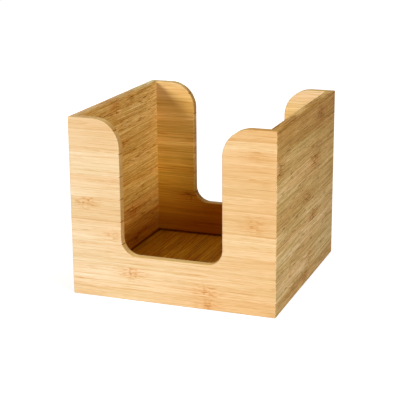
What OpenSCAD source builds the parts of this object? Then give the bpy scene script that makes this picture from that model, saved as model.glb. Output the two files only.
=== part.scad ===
// Napkin holder of laminated bamboo: a square box, open at the top, with a
// round-cornered cut-out in its front and back wall to take the napkins out.
// The four walls are mitred and glued round a base panel that sits in a groove.
// Each wall, and the base, is glued up from bamboo strips, and each strip is one solid.
// Origin: middle of the footprint, on the table. +Z is up and the front faces -Y.
// Left and right are seen from the front, so left is -X. All sizes are in millimetres.

/* [Box] */
// Outer width, left to right
box_w = 187; // [176:1:220]
// Outer depth, front to back
box_d = 187; // [176:1:220]
// Height of the walls
box_h = 160; // [130:1:200]
// Thickness of the wall boards
wall_t = 8; // [7:0.5:10]
// Width of the chamfer that eases the sharp edges
edge_ease = 0.6; // [0.2:0.1:1]

/* [Cut-outs] */
// Width of the cut-out in the front and back wall
cutout_w = 92.5; // [60:0.5:100]
// Height of the cut-out's floor above the table
cutout_floor_z = 40; // [30:1:60]
// Radius of the two hollow corners beside the cut-out's floor
cutout_corner_r = 15; // [8:1:20]
// Radius of the round top corner of each post beside the cut-out
post_top_r = 25; // [10:1:28]

/* [Strips] */
// Number of whole strips under the one that holds the cut-out's floor
rail_strips = 2; // [1:1:2]
// Number of strips in each post, above the one that holds the cut-out's floor
post_strips = 6; // [3:1:6]
// Number of strips in each side wall
side_strips = 8; // [4:1:8]
// Width of the narrow strip at the foot of each side wall
side_foot_w = 12; // [10:1:20]
// Number of strips in the base panel
base_strips = 9; // [5:1:10]

/* [Base panel] */
// Thickness of the base panel
base_t = 4; // [3:0.5:6]
// Height of the panel's underside, and of the groove's lower face, above the table
base_z = 2.6; // [2:0.2:5]
// Depth of the groove in the walls
groove_depth = 3; // [2:0.5:4]
// Open height that the groove leaves over the panel
groove_gap = 0.8; // [0.2:0.1:1.2]
// Gap between the panel's edge and the bottom of the groove
panel_play = 0.3; // [0.1:0.1:0.6]

/* [Corner splines] */
// Thickness of the hidden spline that crosses each mitre
spline_t = 2; // [1.5:0.1:2.4]
// Width of the spline, from one board into the next
spline_w = 7; // [5:0.5:8]
// Distance from the spline's middle to the inner corner, along the mitre
spline_inset = 4; // [3.5:0.5:5]
// Distance from the spline's ends to the top and the foot of the walls
spline_end = 14; // [13:1:30]
// Gap for glue round the spline
spline_play = 0.1; // [0.05:0.05:0.2]

/* [Hidden] */
$fn = 96;
// Overrun of the cuts past the faces that they open
cut_over = 1;
// Side of a square bar that cuts the easing when it lies on its edge
ease_bar_side = edge_ease * sqrt(2);
// Length of the mitre line, from the outer corner to the inner one
mitre_l = wall_t * sqrt(2);
// Width of the cut-out's flat floor, between its hollow corners
floor_w = cutout_w - 2 * cutout_corner_r;
// Height where the hollow corners end and the straight sides begin
corner_top_z = cutout_floor_z + cutout_corner_r;
// Height where the straight sides end and the round post tops begin
post_round_z = box_h - post_top_r;
// Distance from the middle of the wall to the axis of a round post top
post_round_x = cutout_w / 2 + post_top_r;
groove_h = base_t + groove_gap;
panel_w = box_w - 2 * (wall_t - groove_depth + panel_play);
panel_d = box_d - 2 * (wall_t - groove_depth + panel_play);
panel_strip_w = panel_w / base_strips;
rail_pitch = cutout_floor_z / rail_strips;
post_pitch = (box_h - cutout_floor_z) / post_strips;
side_pitch = (box_h - side_foot_w) / (side_strips - 1);
// Strips of a front or back wall that run its full width, and all its levels
whole_strips = rail_strips + 1;
face_levels = whole_strips + post_strips;

// Bamboo tones, from pale to dark
BAMBOO = [
    [0.93, 0.79, 0.58],
    [0.90, 0.74, 0.51],
    [0.86, 0.69, 0.45],
    [0.91, 0.76, 0.54],
    [0.84, 0.66, 0.41]
];
function tone(i) = BAMBOO[i % len(BAMBOO)];

// Height of the glue line over strip i of a front or back wall. The cut-out's floor
// lies halfway up the strip that holds it, so no strip ends in a thin edge there.
function face_line(i) =
    i == 0 ? 0 :
    i == face_levels ? box_h :
    i <= rail_strips ? (i - 1 / 2) * rail_pitch :
    cutout_floor_z + (i - rail_strips - 1 / 2) * post_pitch;

// Height of the glue line over strip i of a side wall
function side_line(i) = i == 0 ? 0 : side_foot_w + (i - 1) * side_pitch;

FACES = ["front", "back"];
SIDES = ["left", "right"];
function strip_name(wall, i) = str(wall, "_strip_", i);
function post_name(wall, i, side) = str(wall, "_strip_", i, "_", side);
function spline_name(face, side) = str(face, "_", side, "_spline");

// Plan of a board whose outer face lies on y = 0. It runs along X to a mitre at -X,
// with an eased tip, and to the given end at +X, which mirrors the mitre if it is whole.
module board_plan(board_l, end_x) {
    tip_x = board_l / 2;
    mitre = [
        [-tip_x + wall_t, wall_t],
        [-tip_x + edge_ease / 2, edge_ease / 2],
        [-tip_x + edge_ease, 0]
    ];
    far_end = end_x == undef
        ? [for (i = [len(mitre) - 1 : -1 : 0]) [-mitre[i][0], mitre[i][1]]]
        : [[end_x, 0], [end_x, wall_t]];
    polygon(concat(mitre, far_end));
}

module board_blank(board_l, low_z, high_z, end_x) {
    translate([0, 0, low_z])
        linear_extrude(high_z - low_z)
            board_plan(board_l, end_x);
}

// Bar on its edge along X: centred on a sharp edge, it cuts the easing there
module ease_bar(length) {
    rotate([45, 0, 0])
        cube([length, ease_bar_side, ease_bar_side], center = true);
}

// Section of a cut through a wall, with the wall's outer face on y = 0. It reaches that
// far along X, and at both faces more by the easing where way is 1, or less where way is -1.
module eased_section(reach, way) {
    face_reach = reach + way * (edge_ease + cut_over);
    polygon([
        [0, -cut_over],
        [face_reach, -cut_over],
        [reach, edge_ease],
        [reach, wall_t - edge_ease],
        [face_reach, wall_t + cut_over],
        [0, wall_t + cut_over]
    ]);
}

// Spline across a mitre that runs along +X from the outer corner, at the origin
module spline_block(play) {
    translate([mitre_l - spline_inset, 0, box_h / 2])
        cube([spline_t, spline_w, box_h - 2 * spline_end] + 2 * [play, play, play], center = true);
}

module groove_cut(board_l) {
    translate([-board_l / 2, wall_t - groove_depth, base_z])
        cube([board_l, groove_depth + cut_over, groove_h]);
}

module spline_cuts(board_l) {
    for (end = [-1, 1])
        translate([end * board_l / 2, 0, 0])
            rotate(90 + end * 45)
                spline_block(spline_play);
}

module foot_ease(board_l) {
    for (y = [0, wall_t])
        translate([0, y, 0])
            ease_bar(board_l);
}

// Cuts that every board has, whatever it holds
module board_cuts(board_l) {
    groove_cut(board_l);
    spline_cuts(board_l);
    foot_ease(board_l);
}

module side_top_ease() {
    for (y = [0, wall_t])
        translate([0, y, box_h])
            ease_bar(box_d);
}

// Opening of the cut-out: straight sides, hollow corners, the floor, and the open top
// between the round post tops
module cutout() {
    for (end = [0, 1])
        mirror([end, 0, 0]) {
            translate([0, 0, corner_top_z])
                linear_extrude(post_round_z - corner_top_z)
                    eased_section(cutout_w / 2, 1);
            translate([floor_w / 2, 0, corner_top_z])
                rotate([-90, 0, 0])
                    rotate_extrude(angle = 90)
                        eased_section(cutout_corner_r, 1);
        }
    translate([0, 0, corner_top_z])
        rotate([0, 90, 0])
            linear_extrude(floor_w, center = true)
                eased_section(cutout_corner_r, 1);
    translate([-cutout_w / 2, -cut_over, post_round_z])
        cube([cutout_w, wall_t + 2 * cut_over, post_top_r + cut_over]);
}

// Waste round the top of the left post, and its eased top edges
module post_top_cuts() {
    flat_w = box_w / 2 - post_round_x;
    difference() {
        translate([-post_round_x, -cut_over, post_round_z])
            cube([post_top_r + cut_over, wall_t + 2 * cut_over, post_top_r + cut_over]);
        translate([-post_round_x, 0, post_round_z])
            rotate([-90, 0, 0])
                rotate_extrude()
                    eased_section(post_top_r, -1);
    }
    for (y = [0, wall_t])
        translate([-post_round_x - flat_w / 2, y, box_h])
            ease_bar(flat_w);
}

module on_face(wall) {
    mirror([0, wall == "back" ? 1 : 0, 0])
        translate([0, -box_d / 2, 0])
            children();
}

module on_side(wall) {
    mirror([wall == "right" ? 1 : 0, 0, 0])
        rotate(-90)
            translate([0, -box_w / 2, 0])
                children();
}

// Strip i of a front or back wall, below the cut-out or round its floor
module face_strip(wall, i) {
    color(tone(i))
        on_face(wall)
            difference() {
                board_blank(box_w, face_line(i - 1), face_line(i));
                board_cuts(box_w);
                cutout();
            }
}

// Strip i of one post beside the cut-out
module post_strip(wall, i, side) {
    color(tone(side == "left" ? i : i + 2))
        on_face(wall)
            mirror([side == "right" ? 1 : 0, 0, 0])
                difference() {
                    board_blank(box_w, face_line(i - 1), face_line(i), -floor_w / 2);
                    board_cuts(box_w);
                    cutout();
                    post_top_cuts();
                }
}

module side_strip(wall, i) {
    color(tone(wall == "left" ? i : i + 3))
        on_side(wall)
            difference() {
                board_blank(box_d, side_line(i - 1), side_line(i));
                board_cuts(box_d);
                side_top_ease();
            }
}

module base_strip(i) {
    color(tone(i + 1))
        translate([(i - 1) * panel_strip_w - panel_w / 2, -panel_d / 2, base_z])
            cube([panel_strip_w, panel_d, base_t]);
}

module corner_spline(face, side) {
    x_way = side == "left" ? -1 : 1;
    y_way = face == "front" ? -1 : 1;
    color(tone(0))
        translate([x_way * box_w / 2, y_way * box_d / 2, 0])
            rotate(atan2(-y_way, -x_way))
                spline_block(0);
}

for (wall = FACES, i = [1 : whole_strips])
    face_strip(wall, i);

for (wall = FACES, i = [whole_strips + 1 : face_levels], side = SIDES)
    post_strip(wall, i, side);

for (wall = SIDES, i = [1 : side_strips])
    side_strip(wall, i);

for (i = [1 : base_strips])
    base_strip(i);

for (face = FACES, side = SIDES)
    corner_spline(face, side);
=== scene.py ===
import math
import random

import bpy
from mathutils import Matrix, Vector


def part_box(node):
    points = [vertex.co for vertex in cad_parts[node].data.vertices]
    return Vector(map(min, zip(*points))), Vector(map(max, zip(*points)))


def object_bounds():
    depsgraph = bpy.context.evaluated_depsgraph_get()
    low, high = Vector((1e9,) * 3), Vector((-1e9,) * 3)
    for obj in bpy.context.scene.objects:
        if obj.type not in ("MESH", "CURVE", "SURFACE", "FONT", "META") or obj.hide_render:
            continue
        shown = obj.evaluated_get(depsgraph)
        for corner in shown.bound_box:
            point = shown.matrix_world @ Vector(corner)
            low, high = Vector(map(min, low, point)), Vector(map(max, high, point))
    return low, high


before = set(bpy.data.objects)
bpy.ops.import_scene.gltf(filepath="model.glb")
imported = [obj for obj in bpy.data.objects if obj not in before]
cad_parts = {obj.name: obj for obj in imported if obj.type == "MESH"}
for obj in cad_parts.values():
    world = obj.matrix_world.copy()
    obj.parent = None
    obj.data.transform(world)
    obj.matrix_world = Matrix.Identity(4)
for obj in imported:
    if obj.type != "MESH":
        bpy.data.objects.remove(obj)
cad_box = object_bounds()

MM = 0.001
WHITE = (1, 1, 1, 1)

# Sizes from the frame, in metres
BOX_LOW, BOX_HIGH = cad_box
BOX_WIDTH = BOX_HIGH.x - BOX_LOW.x
SIDE_LOW, SIDE_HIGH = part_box("left_strip_1")
BASE_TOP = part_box("base_strip_1")[1].z

# Thickness of the walls, and distance of their inner faces from the middle, in millimetres
WALL_THICKNESS = (SIDE_HIGH.x - SIDE_LOW.x) / MM
INNER_FACE = BOX_HIGH.x / MM - WALL_THICKNESS

# Where the outer face of each wall lies through its thickness, and which way is inwards.
# The base counts its upper face as the outer one.
OUTER_FACES = {
    "front": (BOX_LOW.y, 1),
    "back": (BOX_HIGH.y, -1),
    "left": (BOX_LOW.x, 1),
    "right": (BOX_HIGH.x, -1),
    "base": (BASE_TOP, -1),
}

# Camera, as it stood in the photograph: angles in degrees, place in metres, and the sensor
# and the lens in millimetres
CAMERA_YAW = 20.634
CAMERA_PITCH = 16.006
CAMERA_ROLL = -0.467
CAMERA_AIM = Vector((-0.0037, -0.0122, 0.0722))
CAMERA_DISTANCE = 1.0649
SENSOR_WIDTH = 36
LENS = 105.36

# Light. The key lamp stands low in front of the object, a little to its left, and soft
# panels stand high at its right, low behind it at the left, and over it. Places and sizes
# are in metres, the power of the panels is in watts, and the spread is in degrees.
KEY_WAY = Vector((0.24, 1, -0.175))
KEY_STRENGTH = 2.25
KEY_SPREAD = 8
PANELS = {
    "high_panel": {"place": (0.76, -0.52, 0.68), "size": 0.3, "power": 6.5},
    "rear_panel": {"place": (-0.8, 0.8, 0.12), "size": 0.5, "power": 9.0},
    "top_panel": {"place": (0.0, 0.0, 1.4), "size": 1.0, "power": 1.6},
}
PANEL_AIM = Vector((0.0, 0.0, 0.1))
AMBIENT = 0.03

# Table, in metres: what the object's own light sees of it, and what the camera sees. The
# seen table glows less within reach of the box's foot, so that its shadow shows there.
TABLE_SIZE = 12
TABLE_COLOR = (0.55, 0.55, 0.55, 1)
SEEN_TABLE_COLOR = (0.4, 0.4, 0.4, 1)
SEEN_TABLE_GLOW = 0.95
SHADOW_GLOW = 0.84
SHADOW_REACH = 0.1

# Bamboo. All layers of the grain add up in one number, the stain, and each unit of stain
# multiplies the pale wood by the pigment once more. All lengths are in millimetres.
# Painted shade: the wood and pigment of the side walls are deeper and more golden, as the sides
# look in shade
SHADED_SIDE_PIGMENT = (0.82, 0.74, 0.57)
SHADED_SIDE_WOOD = (0.82, 0.535, 0.205)
# Painted shade: the inner wood is deeper gold, as the shaded inside of the box looks
SHADED_INNER_WOOD = (0.97, 0.68, 0.24)
# Painted light: paler inner wood for the back board's right post, as where the key lamp lights it
LIT_POST_WOOD = (0.86, 0.66, 0.44)
# Painted shade: the base wood is dark brown, as the base looks deep in the shaded box
SHADED_BASE_WOOD = (0.76, 0.385, 0.026)
EDGE_WOOD = (0.97, 0.65, 0.245)
# End grain is darker: partly its own colour, partly painted shade
END_WOOD = (0.71, 0.43, 0.145)

# Looks of each wall and of the base:
# outer and inner are the pale wood of the two faces, and pigment is what stains it. The inner
# wood is painted shade: deeper gold, as the shaded inside of the box looks.
# The entry after pigment is painted shade: the golden tint that deepens the inner face towards the
# base.
# tones, bands, lines, dashes and glue are the strengths of the strips' own tones, of the
# broad stripes, of the thin ones, of the short dark dashes and of the glue lines.
# grain_length is how far the grain is drawn out.
# foot and crest are the strengths of the painted shade at the dark foot of the inner face, and of a
# zone of golden painted shade high up on it. rim is that of a dark line along the high edge of each
# strip.
# The last entry is painted light and shade: how much stain the wood gains from one end of the
# wall to the other, as the light falls off.
WOODS = {
    "front": {
        "outer": (0.87, 0.61, 0.335),
        "inner": SHADED_INNER_WOOD,
        "pigment": (0.87, 0.755, 0.59),
        "golden_shade": (0.90, 0.75, 0.33),
        "tones": 1.15,
        "bands": 1.15,
        "lines": 1.3,
        "dashes": 0.9,
        "glue": 1.0,
        "grain_length": 1.2,
        "foot": 1.0,
        "crest": 0.0,
        "rim": 0.0,
        "painted_light_along": 1.0,
    },
    "back": {
        "outer": (0.90, 0.60, 0.28),
        "inner": (0.86, 0.59, 0.28),
        "pigment": SHADED_SIDE_PIGMENT,
        "golden_shade": (0.97, 0.74, 0.13),
        "tones": 1.0,
        "bands": 1.5,
        "lines": 2.9,
        "dashes": 1.2,
        "glue": 0.7,
        "grain_length": 2.5,
        "foot": 0.7,
        "crest": 0.16,
        "rim": 0.0,
        "painted_light_along": 0.0,
    },
    "left": {
        "outer": SHADED_SIDE_WOOD,
        "inner": SHADED_INNER_WOOD,
        "pigment": (0.85, 0.735, 0.56),
        "golden_shade": (0.90, 0.75, 0.42),
        "tones": 1.1,
        "bands": 2.1,
        "lines": 3.4,
        "dashes": 4.8,
        "glue": 1.0,
        "grain_length": 1.1,
        "foot": 1.3,
        "crest": 0.0,
        "rim": 0.0,
        "painted_light_along": -1.0,
    },
    "right": {
        "outer": SHADED_SIDE_WOOD,
        "inner": SHADED_INNER_WOOD,
        "pigment": SHADED_SIDE_PIGMENT,
        "golden_shade": (0.90, 0.75, 0.33),
        "tones": 1.1,
        "bands": 2.1,
        "lines": 3.6,
        "dashes": 4.4,
        "glue": 1.2,
        "grain_length": 1.3,
        "foot": 1.0,
        "crest": 0.0,
        "rim": 0.7,
        "painted_light_along": 0.4,
    },
    "base": {
        "outer": SHADED_BASE_WOOD,
        "inner": SHADED_BASE_WOOD,
        "pigment": (0.80, 0.71, 0.5),
        "golden_shade": (1.0, 1.0, 1.0),
        "tones": 1.0,
        "bands": 0.7,
        "lines": 5.2,
        "dashes": 3.0,
        "glue": 1.2,
        "grain_length": 2.0,
        "foot": 0.0,
        "crest": 0.0,
        "rim": 0.0,
        "painted_light_along": 1.6,
    },
}

# Looks that the strips take over from their wall as they are
SHARED_LOOKS = [
    "outer",
    "pigment",
    "golden_shade",
    "bands",
    "dashes",
    "glue",
    "grain_length",
    "foot",
    "crest",
    "rim",
]

# Stain of each named tone, before the wall's own strength of tones
TONES = {
    "cream": -0.5,
    "pale": -0.25,
    "straw": 0.0,
    "honey": 0.25,
    "amber": 0.5,
    "toasted": 1.0,
    "umber": 1.5,
}

# Tones of the strips, from the foot of a wall to its top, or from left to right. The posts
# of the front board differ, above the strips that run its full width.
FRONT_WHOLE_TONES = ["honey", "straw", "straw"]
FRONT_RIGHT_TONES = FRONT_WHOLE_TONES + ["pale", "honey", "honey", "honey", "straw", "amber"]
STRIP_TONES = {
    "front": FRONT_WHOLE_TONES + ["straw", "honey", "straw", "straw", "honey", "amber"],
    "back": ["honey", "honey", "amber", "honey", "pale", "straw", "straw", "amber", "honey"],
    "left": ["honey", "honey", "straw", "straw", "honey", "amber", "honey", "amber"],
    "right": ["straw", "cream", "cream", "pale", "amber", "straw", "amber", "umber"],
    "base": ["toasted", "honey", "pale", "pale", "straw", "honey", "pale", "amber", "straw"],
}

# Share of their wall's lines that the strips have, from the foot up: some are calmer
LINE_SHARES = {
    "front": [1.15, 1.15, 1.1, 1.0, 1.1, 1.0, 0.9, 0.85, 0.8],
    "back": [0.5, 0.5, 0.6, 1.1, 1.15, 1.1, 1.0, 0.75, 0.5],
}

# How much more stain the strips of a wall, from its foot up, have at their low edge than at
# their high one. The strips of the other walls have a random shade in the range, times
# their wall's strength of tones.
SHADES = {"right": [0.0, 0.0, 1.0, 0.6, 0.6, -0.2, 0.5, 0.0]}
RANDOM_SHADES = (-0.2, 0.3)

# Seeds of the strips: the wall's own plus the level of the strip, and one for the splines
WALL_SEEDS = {"front": 10, "back": 30, "left": 50, "right": 70, "base": 90}
SPLINE_SEED = 5

# Shift of the grain, along and across, for each unit of the seed
SEED_STEP_ALONG = 37.3
SEED_STEP_ACROSS = 11.7

# Layers of the grain: size of their grains along, across and through the strip, detail of
# the noise, and the two levels of it between which the layer rises from 0 to 1. A layer
# without a rise stays noise round 0. The first layers lie straight in the strip, and the
# others follow its fibres.
STRAIGHT_LAYERS = {
    "wander": {"size": (90, 14, 14), "detail": 1},
    "swirl": {"size": (7, 5, 5), "detail": 1},
    "dash_patch": {"size": (30, 5, 5), "detail": 1, "rise": (-0.02, 0.14)},
    "glue_patch": {"size": (45, 30, 30), "detail": 1, "rise": (-0.1, 0.15)},
    "stroke": {"size": (4, 2.4, 2.4), "detail": 0, "rise": (-0.05, 0.1)},
}
FIBRE_LAYERS = {
    "band": {"size": (400, 3.2, 5), "detail": 2},
    "broad": {"size": (120, 11, 11), "detail": 1},
    "blush": {"size": (90, 16, 16), "detail": 1},
    "streak": {"size": (60, 1.0, 1.0), "detail": 1, "rise": (0.0, 0.2)},
    "line": {"size": (40, 0.38, 0.45), "detail": 0, "rise": (0.08, 0.22)},
    "pale_streak": {"size": (70, 1.2, 1.2), "detail": 1, "rise": (-0.05, -0.25)},
    "mottle": {"size": (7, 0.5, 0.5), "detail": 1},
    "fine": {"size": (9, 0.22, 0.22), "detail": 1},
    "dash": {"size": (10, 0.45, 0.45), "detail": 0, "rise": (0.08, 0.2)},
    "tick": {"size": (7, 0.7, 0.7), "detail": 1, "rise": (0.02, 0.12)},
}
NOISE_MIDDLE = 0.5

# How far the fibres wander across the strip, and swirl near a knuckle
WANDER = 3.0
SWIRL = 1.2

# How much of each layer goes into the stain, the relief and the roughness
BAND_MIX = {"band": 1.1, "broad": 0.9}
LINE_MIX = {"streak": 0.4, "line": 0.7, "pale_streak": -0.25, "mottle": 0.6, "fine": 0.6}
DASH_MIX = {"patchy_dash": 1.0, "mottle": 0.25}
KNOT_MIX = {"halo_tick": 2.2, "halo": 0.2, "ridge_stroke": 1.2}
RELIEF_MIX = {"fine": 0.6, "streak": -0.5, "patchy_dash": -0.7, "glue_line": -0.8}
ROUGHNESS_MIX = {"fine": 0.25, "streak": 0.05, "end_grain": 0.15}
PLAIN_ROUGHNESS = 0.55
GLOSS_LEVEL = 0.04
BUMP_HEIGHT = 0.06
BUMP_STRENGTH = 0.8

# Stain of the glue lines in end grain, painted shadow of the joint round the base, painted
# highlight of the arrises, and painted light of the top face of a strip, which is for each unit of
# the wall's dashes
END_GLUE = 3.8
JOINT_SHADE = 6.0
# Painted highlight: the arrises are lighter, as where their slant catches the light
ARRIS_HIGHLIGHT = -0.3
# Painted light: the top face of a strip is lighter, as where light from above falls
TOP_FACE_LIGHT = -0.2

# Distance from the strip's edge over which the glue line fades, place and width of the rim,
# and depth over which the wood of the edges takes over from that of a face
GLUE_FADE = (0.1, 0.6)
RIM_GAP = 1.9
RIM_WIDTH = 1.4
SKIN = (0.1, 0.7)

# Shares of a face's direction that lie along the grain, between which it turns to end
# grain, and across the grain, between which it turns to the top face of its strip
END_FACING = (0.35, 0.8)
TOP_FACING = (0.7, 0.95)

# Painted shade: the inner faces grow darker and more golden towards the base, less dark in a band
# low in the foot, and more golden in a crest high up. Their heights are above the table.
FOOT_TOP = 45
FOOT_SHADE_TINT = (0.45, 0.25, 0.06)
FOOT_GLOW = 0.35
FOOT_GLOW_HEIGHT = 11
FOOT_GLOW_WIDTH = 8
GOLDEN_SHADE_RANGE = (20, 168)
CREST_HEIGHT = 126
CREST_WIDTH = 20

# Painted shadow in the gap between the base and the walls: height of its line on a wall, its
# distance from the middle of the base, and its widths there
WALL_JOINT = BASE_TOP / MM + 0.9
WALL_JOINT_WIDTH = 0.65
BASE_JOINT = INNER_FACE - 0.2
BASE_JOINT_WIDTH = 0.9

# Hue that broad zones of a strip turn to, and from. Knuckles turn to it up to the limit.
BLUSH_PIGMENT = (1.06, 0.95, 0.95)
KNOT_BLUSH = 0.5
KNOT_BLUSH_LIMIT = 0.4

# Knuckles that the photograph shows: along the grain, across it, and how dark each is. The
# second one of the back board lies in its cut-out, so that its top strips show none.
KNUCKLES = {
    "front": [
        (-78.5, 86, 1.1),
        (-35.5, 26, 1.2),
        (32.5, 16, 1.1),
        (33.5, 4, 1.1),
        (74.5, 138, 0.25),
        (74.5, 78, 0.7),
        (-55.5, 56, 0.6),
    ],
    "right": [
        (41, 149, 2.5),
        (-85, 126, 2.0),
        (24, 109, 2.1),
        (0, 79, 2.0),
        (22, 58, 2.4),
        (11, 22, 1.4),
        (-7, 8, 2.3),
    ],
    "left": [(-12, 150, 1.5), (2, 117, 1.7), (24, 45, 1.9)],
    "back": [(-52, 47.5, 2.0), (0, 155, 1.0)],
}
NO_KNUCKLE = (0, 0, 0)

# Other strips have one knuckle at a random place in the range, with a random strength. The
# walls that show all their knuckles in the photograph get none besides.
SHOWN_WALLS = ["front", "right"]
RANDOM_KNUCKLE_PLACES = (-115, 115)
RANDOM_KNUCKLE_STRENGTHS = (0.6, 1.1)

# A knuckle reaches into the wood round it, and has two thin ridges that bow with the height
KNUCKLE_REACH = 11
KNUCKLE_HEIGHT = 6
KNUCKLE_BOW = 0.02
RIDGE_GAP = 5
RIDGE_WIDTH = 0.9

# Stripes that the photograph shows: height, half width, and how dark each is. Where there is
# none, the half width is 1, because the height is divided by it.
STRIPES = {
    "back": [(126.5, 2.8, -0.9), (112, 3, 0.3), (99, 3.0, -1.1), (94.8, 1.0, 0.6)],
    "left": [(130, 1.5, -0.4), (73.5, 1.5, 0.5)],
}
NO_STRIPE = (0, 1, 0)

# Sockets of the strips' node group
NUMBER_INPUTS = [
    "seed",
    "stain",
    "bands",
    "lines",
    "dashes",
    "glue",
    "grain_length",
    "foot",
    "crest",
    "rim",
    "upright",
    "low_edge",
    "high_edge",
]
VECTOR_INPUTS = [
    "grain",
    "facing",
    "outer",
    "inner",
    "pigment",
    "golden_shade",
    "knuckle_a",
    "knuckle_b",
    "stripe_a",
    "stripe_b",
]
STRIP_OUTPUTS = {
    "color": "NodeSocketColor",
    "roughness": "NodeSocketFloat",
    "normal": "NodeSocketVector",
}


class Graph:
    """Adds nodes to a tree, and gives back sockets to build on."""

    def __init__(self, tree):
        self.tree = tree

    def feed(self, socket, value):
        if isinstance(value, bpy.types.NodeSocket):
            self.tree.links.new(value, socket)
        else:
            socket.default_value = value

    def node(self, kind, inputs=None, **settings):
        node = self.tree.nodes.new(kind)
        for name, value in settings.items():
            setattr(node, name, value)
        for key, value in (inputs or {}).items():
            self.feed(node.inputs[key], value)
        return node

    def math(self, operation, *values):
        node = self.node("ShaderNodeMath", dict(enumerate(values)), operation=operation)
        return node.outputs[0]

    def add(self, *values):
        total = values[0]
        for value in values[1:]:
            total = self.math("ADD", total, value)
        return total

    def times(self, *values):
        total = values[0]
        for value in values[1:]:
            total = self.math("MULTIPLY", total, value)
        return total

    def rest(self, value):
        """What is missing from 1."""
        return self.math("SUBTRACT", 1.0, value)

    def mix(self, parts, shares):
        """Sum of the named parts, each times its share."""
        return self.add(*[self.times(parts[name], share) for name, share in shares.items()])

    def farther(self, x, y):
        """The greater distance from 0."""
        return self.math("MAXIMUM", self.math("ABSOLUTE", x), self.math("ABSOLUTE", y))

    def vector_math(self, operation, *values):
        node = self.node("ShaderNodeVectorMath", dict(enumerate(values)), operation=operation)
        return node.outputs[0]

    def split(self, vector):
        return self.node("ShaderNodeSeparateXYZ", {0: vector}).outputs

    def join(self, x, y, z):
        return self.node("ShaderNodeCombineXYZ", {0: x, 1: y, 2: z}).outputs[0]

    def blend(self, low, high, share):
        """The low vector where the share is 0, and the high one where it is 1."""
        way = self.vector_math("SUBTRACT", high, low)
        part = self.vector_math("MULTIPLY", way, self.join(share, share, share))
        return self.vector_math("ADD", low, part)

    def power(self, vector, depth):
        """Each part of the vector raised to the depth."""
        return self.join(*[self.math("POWER", part, depth) for part in self.split(vector)])

    def step(self, value, low, high):
        """0 up to low, 1 from high, and a smooth rise between them."""
        node = self.node(
            "ShaderNodeMapRange",
            {"Value": value, "From Min": low, "From Max": high},
            interpolation_type="SMOOTHSTEP",
        )
        return node.outputs[0]

    def bell(self, value, middle, width):
        """1 where the value is in the middle, and falling off over the width on both sides."""
        share = self.math("DIVIDE", self.math("SUBTRACT", value, middle), width)
        return self.math("EXPONENT", self.times(share, share, -1))

    def layer(self, place, size, detail, rise=None):
        """Noise round 0 with grains of that size. With a rise it goes from 0 to 1."""
        scaled = self.vector_math("DIVIDE", place, size)
        node = self.node("ShaderNodeTexNoise", {"Vector": scaled, "Scale": 1.0, "Detail": detail})
        noise = self.math("SUBTRACT", node.outputs[0], NOISE_MIDDLE)
        return self.step(noise, *rise) if rise else noise


# Node group of a strip. In the functions below, given holds what the strip says of itself,
# and parts holds the place in the strip and every layer made so far, by its name.


def knuckle_parts(g, knuckle, along, across):
    """Reach of one knuckle into the wood round it, and its thin ridges."""
    knuckle_along, knuckle_across, strength = g.split(knuckle)
    rise = g.math("SUBTRACT", across, knuckle_across)
    bow = g.times(rise, rise, KNUCKLE_BOW)
    run = g.add(g.math("SUBTRACT", along, knuckle_along), bow)
    height = g.bell(rise, 0.0, KNUCKLE_HEIGHT)
    halo = g.times(g.bell(run, 0.0, KNUCKLE_REACH), height, strength)
    low_ridge = g.bell(run, -RIDGE_GAP / 2, RIDGE_WIDTH)
    high_ridge = g.bell(run, RIDGE_GAP / 2, RIDGE_WIDTH)
    ridge = g.times(g.add(low_ridge, high_ridge), height, strength)
    return halo, ridge


def add_knuckles(g, given, parts):
    """Adds the halo and the ridges of the strip's knuckles."""
    halo_a, ridge_a = knuckle_parts(g, given["knuckle_a"], parts["along"], parts["across"])
    halo_b, ridge_b = knuckle_parts(g, given["knuckle_b"], parts["along"], parts["across"])
    parts["halo"] = g.add(halo_a, halo_b)
    parts["ridge"] = g.add(ridge_a, ridge_b)


def add_grain(g, given, parts):
    """Adds the layers of the grain. Each strip has its own stretch and cut of the noise, and
    its fibres wander a little, and swirl round the knuckles."""
    seed = given["seed"]
    shift = g.join(g.times(seed, SEED_STEP_ALONG), g.times(seed, SEED_STEP_ACROSS), 0)
    stretch = g.join(g.math("DIVIDE", 1.0, given["grain_length"]), 1.0, 1.0)
    place = g.vector_math("ADD", g.vector_math("MULTIPLY", given["grain"], stretch), shift)
    for name, form in STRAIGHT_LAYERS.items():
        parts[name] = g.layer(place, **form)
    wander = g.times(parts["wander"], WANDER)
    swirl = g.times(parts["swirl"], parts["halo"], SWIRL)
    fibres = g.vector_math("ADD", place, g.join(0, g.add(wander, swirl), 0))
    for name, form in FIBRE_LAYERS.items():
        parts[name] = g.layer(fibres, **form)
    parts["height"] = g.add(parts["across"], wander, swirl)
    parts["patchy_dash"] = g.times(parts["dash"], parts["dash_patch"])
    parts["halo_tick"] = g.times(parts["halo"], parts["tick"])
    parts["ridge_stroke"] = g.times(parts["ridge"], parts["stroke"])


def stripe_part(g, stripe, height):
    """One dark or pale stripe along the strip."""
    middle, width, strength = g.split(stripe)
    return g.times(g.bell(height, middle, width), strength)


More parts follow.
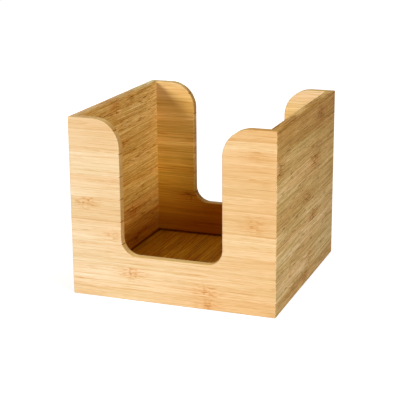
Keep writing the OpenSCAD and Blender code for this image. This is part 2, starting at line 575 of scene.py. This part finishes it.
def add_edges(g, given, parts):
    """Adds the glue lines, the rim, and how far a point is end grain, top, arris or inside."""
    facing_along, facing_across, facing_depth = g.split(given["facing"])
    low_gap = g.math("SUBTRACT", parts["across"], given["low_edge"])
    high_gap = g.math("SUBTRACT", given["high_edge"], parts["across"])
    parts["glue_line"] = g.rest(g.step(g.math("MINIMUM", low_gap, high_gap), *GLUE_FADE))
    parts["rim"] = g.bell(high_gap, RIM_GAP, RIM_WIDTH)
    parts["end_grain"] = g.step(g.math("ABSOLUTE", facing_along), *END_FACING)
    parts["top_face"] = g.step(facing_across, *TOP_FACING)
    parts["under_surface"] = g.step(parts["depth"], *SKIN)
    parts["inside"] = g.step(parts["depth"], WALL_THICKNESS - SKIN[1], WALL_THICKNESS - SKIN[0])

    # The arris is 1 on a face that lies at 45 degrees between the wall's face and its edge
    slant = g.math("ABSOLUTE", facing_depth)
    lean = g.math("SQRT", g.math("MAXIMUM", g.rest(g.times(slant, slant)), 0.0))
    parts["arris"] = g.times(slant, 2.0, lean)


def add_inside(g, given, parts):
    """Adds the painted shade that deepens the inner faces, and the painted shadow of the joint."""
    across = parts["across"]
    # Painted shade: darker towards the base, less so in a band low in the foot
    foot_glow = g.times(g.bell(across, FOOT_GLOW_HEIGHT, FOOT_GLOW_WIDTH), FOOT_GLOW)
    foot = g.rest(g.step(across, 0.0, FOOT_TOP))
    parts["foot"] = g.times(foot, g.rest(foot_glow), parts["inside"], given["foot"])
    # Painted shade: a golden tint towards the base, and in a crest high up where the inner face
    # lies in shade
    crest = g.times(g.bell(across, CREST_HEIGHT, CREST_WIDTH), given["crest"])
    golden_shade = g.add(g.rest(g.step(across, *GOLDEN_SHADE_RANGE)), crest)
    parts["golden_shade"] = g.times(golden_shade, parts["inside"], given["upright"])
    # Painted shadow in the gap where the base meets the walls
    wall_line = g.bell(across, WALL_JOINT, WALL_JOINT_WIDTH)
    wall_joint = g.times(wall_line, parts["inside"], given["upright"])
    base_line = g.bell(g.farther(parts["along"], across), BASE_JOINT, BASE_JOINT_WIDTH)
    base_joint = g.times(base_line, g.rest(given["upright"]))
    parts["joint"] = g.add(wall_joint, base_joint)


def strip_stain(g, given, parts):
    """All that darkens or lightens the wood, in one number, painted light and shade included."""
    stripe_a = stripe_part(g, given["stripe_a"], parts["height"])
    stripe_b = stripe_part(g, given["stripe_b"], parts["height"])
    plain_glue = g.times(parts["glue_patch"], given["glue"])
    end_glue = g.times(parts["end_grain"], END_GLUE)
    return g.add(
        given["stain"],
        g.add(stripe_a, stripe_b),
        g.times(parts["rim"], given["rim"]),
        g.times(g.mix(parts, BAND_MIX), given["bands"]),
        g.times(g.mix(parts, LINE_MIX), given["lines"]),
        g.times(g.mix(parts, DASH_MIX), given["dashes"]),
        g.mix(parts, KNOT_MIX),
        g.times(parts["glue_line"], g.add(plain_glue, end_glue)),
        # Painted shadow of the joint, painted highlight of the arrises, painted light of the top
        # faces
        g.times(parts["joint"], JOINT_SHADE),
        g.times(parts["arris"], ARRIS_HIGHLIGHT),
        g.times(parts["top_face"], given["dashes"], TOP_FACE_LIGHT),
    )


def strip_color(g, given, parts):
    """The pale wood of the face or the edge, washed with one pigment after the other. The washes of
    the foot and of the golden tint are painted shade.
    """
    edge = g.blend(EDGE_WOOD, END_WOOD, parts["end_grain"])
    outer = g.blend(given["outer"], edge, parts["under_surface"])
    color = g.blend(outer, given["inner"], parts["inside"])
    knot_blush = g.math("MINIMUM", g.times(parts["halo"], KNOT_BLUSH), KNOT_BLUSH_LIMIT)
    washes = [
        (given["pigment"], strip_stain(g, given, parts)),
        (FOOT_SHADE_TINT, parts["foot"]),
        (given["golden_shade"], parts["golden_shade"]),
        (BLUSH_PIGMENT, g.add(g.times(parts["blush"], given["bands"]), knot_blush)),
    ]
    for pigment, depth in washes:
        color = g.vector_math("MULTIPLY", color, g.power(pigment, depth))
    return color


def bamboo_group():
    """Colour, roughness and fine relief of one bamboo strip, from the place in the strip."""
    tree = bpy.data.node_groups.new("bamboo_strip", "ShaderNodeTree")
    for name in VECTOR_INPUTS:
        tree.interface.new_socket(name, in_out="INPUT", socket_type="NodeSocketVector")
    for name in NUMBER_INPUTS:
        tree.interface.new_socket(name, in_out="INPUT", socket_type="NodeSocketFloat")
    for name, kind in STRIP_OUTPUTS.items():
        tree.interface.new_socket(name, in_out="OUTPUT", socket_type=kind)

    g = Graph(tree)
    given = g.node("NodeGroupInput").outputs
    parts = dict(zip(("along", "across", "depth"), g.split(given["grain"])))
    add_knuckles(g, given, parts)
    add_grain(g, given, parts)
    add_edges(g, given, parts)
    add_inside(g, given, parts)

    relief = {
        "Height": g.mix(parts, RELIEF_MIX),
        "Distance": BUMP_HEIGHT * MM,
        "Strength": BUMP_STRENGTH,
    }
    out = g.node("NodeGroupOutput").inputs
    g.feed(out["color"], strip_color(g, given, parts))
    g.feed(out["roughness"], g.add(PLAIN_ROUGHNESS, g.mix(parts, ROUGHNESS_MIX)))
    g.feed(out["normal"], g.node("ShaderNodeBump", relief).outputs[0])
    return tree


BAMBOO = bamboo_group()


def new_material(name):
    """An empty node material, and the graph to build it with."""
    material = bpy.data.materials.new(name)
    material.use_nodes = True
    material.node_tree.nodes.clear()
    return material, Graph(material.node_tree)


def wall_axes(g, wall, vector):
    """Turns a vector of the frame into along, across and through the strips of that wall."""
    x, y, z = g.split(vector)
    if wall in ("front", "back"):
        return g.join(x, z, y)
    if wall in ("left", "right"):
        return g.join(y, z, x)
    return g.join(y, x, z)


def strip_facts(node):
    """What the name of a strip says of its looks. The splines are of the left wall's wood."""
    if node.endswith("_spline"):
        return {
            "wall": "left",
            "seed": SPLINE_SEED,
            "tone": "honey",
            "inner": SHADED_INNER_WOOD,
            "line_share": 1.0,
            "shade": None,
        }
    wall, _, level_word, *side = node.split("_")
    level = int(level_word)
    right_post = side == ["right"]
    tones = FRONT_RIGHT_TONES if right_post and wall == "front" else STRIP_TONES[wall]
    return {
        "wall": wall,
        "seed": WALL_SEEDS[wall] + level,
        "tone": tones[level - 1],
        "inner": LIT_POST_WOOD if right_post and wall == "back" else WOODS[wall]["inner"],
        "line_share": LINE_SHARES[wall][level - 1] if wall in LINE_SHARES else 1.0,
        "shade": SHADES[wall][level - 1] if wall in SHADES else None,
    }


def two_of(seen, none):
    """The first two of those seen, filled up with none."""
    return (seen + [none, none])[:2]


def strip_knuckles(wall, low_edge, high_edge, rng):
    """The knuckles of one strip: those that were seen, or else one at a random place."""
    seen = [knuckle for knuckle in KNUCKLES.get(wall, []) if low_edge <= knuckle[1] < high_edge]
    if not seen and wall not in SHOWN_WALLS:
        along = rng.uniform(*RANDOM_KNUCKLE_PLACES)
        seen = [(along, (low_edge + high_edge) / 2, rng.uniform(*RANDOM_KNUCKLE_STRENGTHS))]
    return two_of(seen, NO_KNUCKLE)


def strip_stripes(wall, low_edge, high_edge):
    """The stripes of one strip."""
    seen = [stripe for stripe in STRIPES.get(wall, []) if low_edge <= stripe[0] < high_edge]
    return two_of(seen, NO_STRIPE)


def strip_settings(g, node):
    """What one strip feeds the node group: its own tone, grain, knuckles and stripes."""
    facts = strip_facts(node)
    wall = facts["wall"]
    look = WOODS[wall]
    rng = random.Random(facts["seed"])
    low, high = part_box(node)
    axis = 0 if wall == "base" else 2
    low_edge = low[axis] / MM
    high_edge = high[axis] / MM
    knuckle_a, knuckle_b = strip_knuckles(wall, low_edge, high_edge, rng)
    stripe_a, stripe_b = strip_stripes(wall, low_edge, high_edge)
    shade = facts["shade"]
    if shade is None:
        shade = rng.uniform(*RANDOM_SHADES) * look["tones"]

    face, inwards = OUTER_FACES[wall]
    turned = wall_axes(g, wall, g.node("ShaderNodeTexCoord").outputs["Object"])
    facing = wall_axes(g, wall, g.node("ShaderNodeNewGeometry").outputs["True Normal"])
    from_face = g.vector_math("SUBTRACT", turned, (0, 0, face))
    along, across = g.split(turned)[:2]
    middle = (low[axis] + high[axis]) / 2
    stain = g.add(
        TONES[facts["tone"]] * look["tones"],
        # Painted light and shade: the stain rises along the wall as the light falls off
        g.times(along, look["painted_light_along"] / BOX_WIDTH),
        g.times(g.math("SUBTRACT", middle, across), shade / (high[axis] - low[axis])),
    )
    return {
        **{name: look[name] for name in SHARED_LOOKS},
        "grain": g.vector_math("MULTIPLY", from_face, (1 / MM, 1 / MM, inwards / MM)),
        "facing": facing,
        "seed": facts["seed"],
        "stain": stain,
        "inner": facts["inner"],
        "lines": look["lines"] * facts["line_share"],
        "upright": 0 if wall == "base" else 1,
        "low_edge": low_edge,
        "high_edge": high_edge,
        "knuckle_a": knuckle_a,
        "knuckle_b": knuckle_b,
        "stripe_a": stripe_a,
        "stripe_b": stripe_b,
    }


def strip_material(node):
    """Bamboo for one strip."""
    material, g = new_material("bamboo_" + node)
    strip = g.node("ShaderNodeGroup", node_tree=BAMBOO)
    for name, value in strip_settings(g, node).items():
        g.feed(strip.inputs[name], value)
    surface = {
        "Base Color": strip.outputs["color"],
        "Roughness": strip.outputs["roughness"],
        "Normal": strip.outputs["normal"],
        "Specular IOR Level": GLOSS_LEVEL,
    }
    shader = g.node("ShaderNodeBsdfPrincipled", surface)
    g.node("ShaderNodeOutputMaterial", {"Surface": shader.outputs[0]})
    return material


def dress_strips():
    for node, piece in sorted(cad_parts.items()):
        material = strip_material(node)
        for slot in piece.material_slots:
            slot.material = material


def seen_ray(g):
    """1 for rays that show the background: to the camera, in gloss, or through glass."""
    path = g.node("ShaderNodeLightPath").outputs
    shown = g.math("MAXIMUM", path["Is Camera Ray"], path["Is Glossy Ray"])
    return g.math("MAXIMUM", shown, path["Is Transmission Ray"])


def table_glow(g):
    """Glow of the seen table: less round the foot of the box, and the same from there on."""
    x, y = g.split(g.node("ShaderNodeTexCoord").outputs["Object"])[:2]
    away = g.step(g.farther(x, y), BOX_HIGH.x, BOX_HIGH.x + SHADOW_REACH)
    return g.add(SHADOW_GLOW, g.times(away, SEEN_TABLE_GLOW - SHADOW_GLOW))


def make_table():
    bpy.ops.mesh.primitive_plane_add(size=TABLE_SIZE)
    table = bpy.context.object
    table.name = "table"
    material, g = new_material("table_top")
    lit = g.node("ShaderNodeBsdfDiffuse", {"Color": TABLE_COLOR})
    seen = g.node("ShaderNodeBsdfDiffuse", {"Color": SEEN_TABLE_COLOR})
    glow = g.node("ShaderNodeEmission", {"Color": WHITE, "Strength": table_glow(g)})
    seen_sum = g.node("ShaderNodeAddShader", {0: seen.outputs[0], 1: glow.outputs[0]})
    mix = g.node("ShaderNodeMixShader", {0: seen_ray(g), 1: lit.outputs[0], 2: seen_sum.outputs[0]})
    g.node("ShaderNodeOutputMaterial", {"Surface": mix.outputs[0]})
    table.data.materials.append(material)


def make_world():
    world = bpy.data.worlds.new("studio")
    bpy.context.scene.world = world
    world.use_nodes = True
    world.node_tree.nodes.clear()
    g = Graph(world.node_tree)
    strength = g.add(AMBIENT, g.times(seen_ray(g), 1.0 - AMBIENT))
    background = g.node("ShaderNodeBackground", {"Color": WHITE, "Strength": strength})
    g.node("ShaderNodeOutputWorld", {"Surface": background.outputs[0]})


def place_lamp(light, way):
    """Puts a lamp in the scene that shines that way."""
    lamp = bpy.data.objects.new(light.name, light)
    lamp.rotation_mode = "QUATERNION"
    lamp.rotation_quaternion = way.to_track_quat("-Z", "Y")
    bpy.context.scene.collection.objects.link(lamp)
    return lamp


def make_key_light():
    light = bpy.data.lights.new("key", "SUN")
    light.energy = KEY_STRENGTH
    light.angle = math.radians(KEY_SPREAD)
    place_lamp(light, KEY_WAY)


def make_panels():
    for name, panel in PANELS.items():
        light = bpy.data.lights.new(name, "AREA")
        light.energy = panel["power"]
        light.size = panel["size"]
        place = Vector(panel["place"])
        lamp = place_lamp(light, PANEL_AIM - place)
        lamp.location = place
        lamp.visible_camera = False


def make_camera():
    """The camera. Before its turns it looks straight down."""
    turn = (
        Matrix.Rotation(math.radians(CAMERA_YAW), 4, "Z")
        @ Matrix.Rotation(math.radians(90 - CAMERA_PITCH), 4, "X")
        @ Matrix.Rotation(math.radians(CAMERA_ROLL), 4, "Z")
    )
    back_off = Matrix.Translation((0, 0, CAMERA_DISTANCE))
    camera = bpy.data.objects.new("camera", bpy.data.cameras.new("camera"))
    camera.data.sensor_width = SENSOR_WIDTH
    camera.data.lens = LENS
    camera.data.clip_end = TABLE_SIZE
    camera.matrix_world = Matrix.Translation(CAMERA_AIM) @ turn @ back_off
    bpy.context.scene.collection.objects.link(camera)
    bpy.context.scene.camera = camera


dress_strips()
make_table()
make_world()
make_key_light()
make_panels()
make_camera()
bpy.context.scene.view_settings.view_transform = "Standard"
